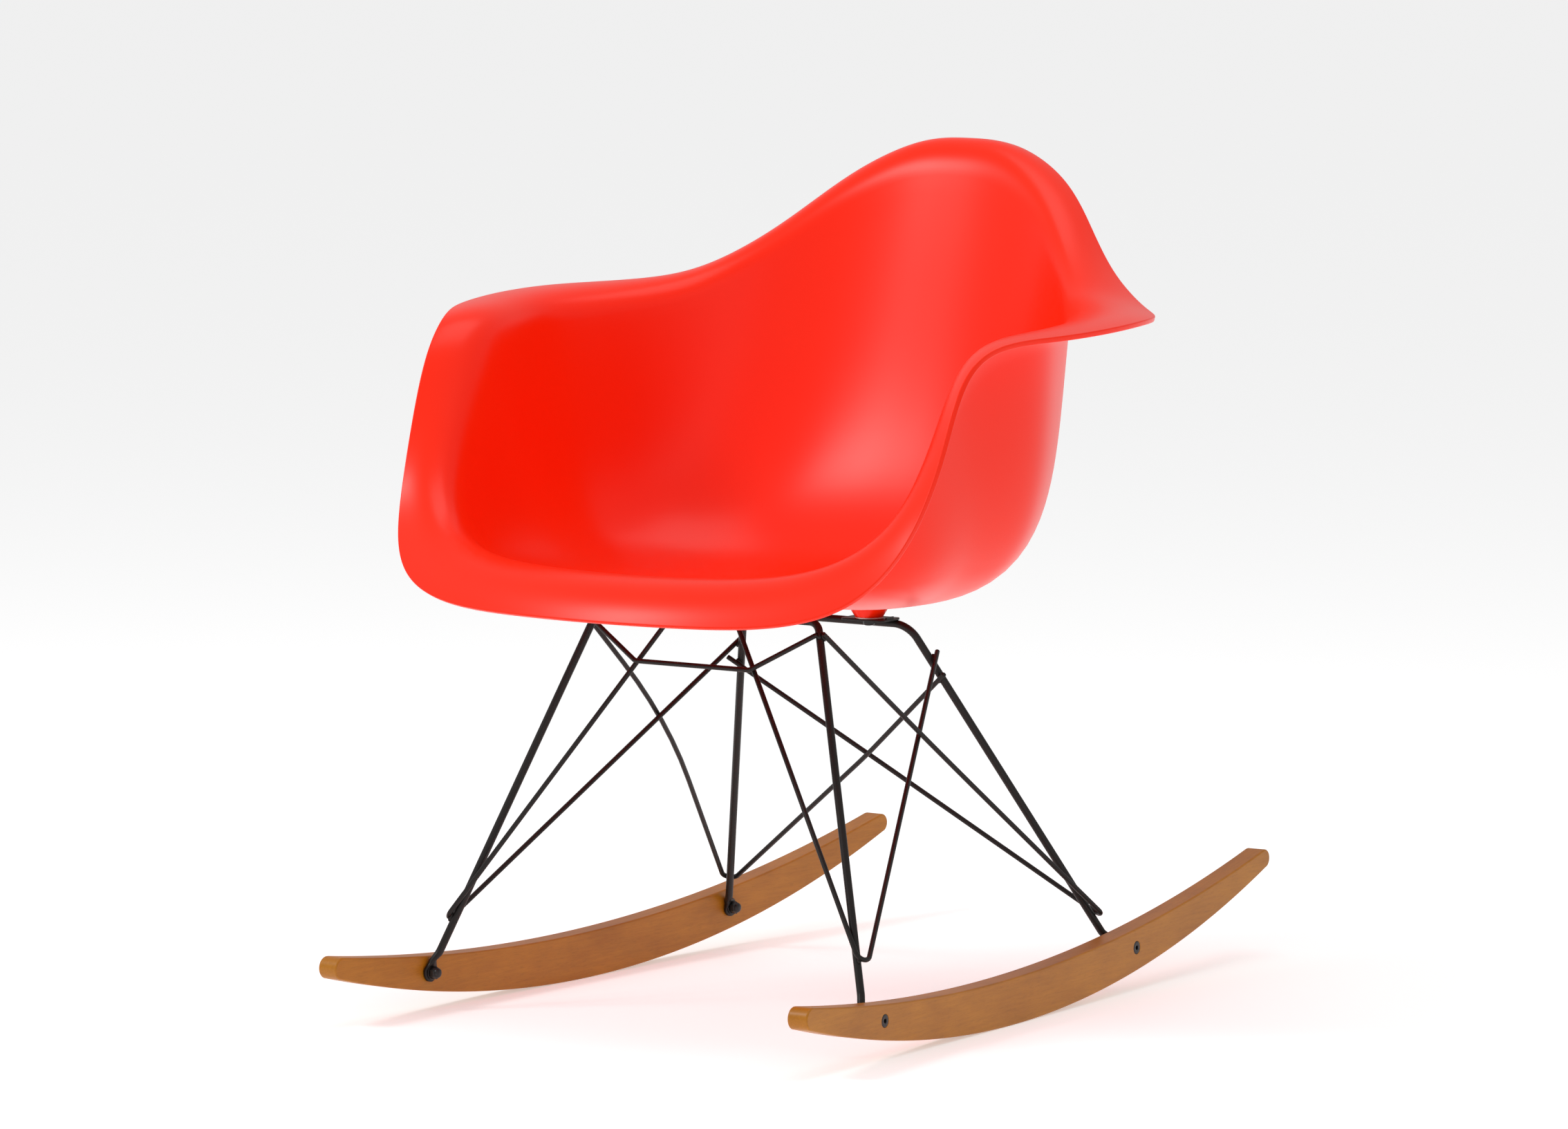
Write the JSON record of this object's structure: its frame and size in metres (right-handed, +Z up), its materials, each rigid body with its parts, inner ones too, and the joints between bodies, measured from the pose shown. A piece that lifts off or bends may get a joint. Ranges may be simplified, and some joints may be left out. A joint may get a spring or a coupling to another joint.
{
  "type": "rocking chair",
  "caption": "Rocking armchair: a moulded plastic bucket seat on a black wire base with two curved wooden rockers.",
  "frame": {"origin": "on the floor, mid-width, on the line where both rockers touch the floor at rest", "axes": "+Z up, -Y towards the front of the seat, +X towards the sitter's left"},
  "size_m": [0.6618, 0.8311, 0.7597],
  "materials": {
    "shell_plastic": "satin poppy red",
    "insert_brass": "plain",
    "pad_grey": "pale grey washer pad",
    "frame_black": "black powder coat",
    "rocker_wood": "golden lacquered maple",
    "fastener_black": "blackened steel"
  },
  "bodies": {
    "root": {"seat_shell": "shell_plastic", "threaded_inserts": "insert_brass", "pad_front_left": "pad_grey", "pad_front_right": "pad_grey", "pad_rear_left": "pad_grey", "pad_rear_right": "pad_grey", "plate_front_left": "frame_black", "plate_front_right": "frame_black", "plate_rear_left": "frame_black", "plate_rear_right": "frame_black", "shell_screws": "fastener_black", "front_leg_frame": "frame_black", "rear_leg_frame": "frame_black", "front_brace_left": "frame_black", "front_brace_right": "frame_black", "rear_brace_left": "frame_black", "rear_brace_right": "frame_black", "front_tie_wire": "frame_black", "rocker_left": "rocker_wood", "rocker_right": "rocker_wood", "rocker_screws": "fastener_black", "rocker_washers": "fastener_black", "rocker_nuts": "fastener_black"}
  },
  "joints": []
}
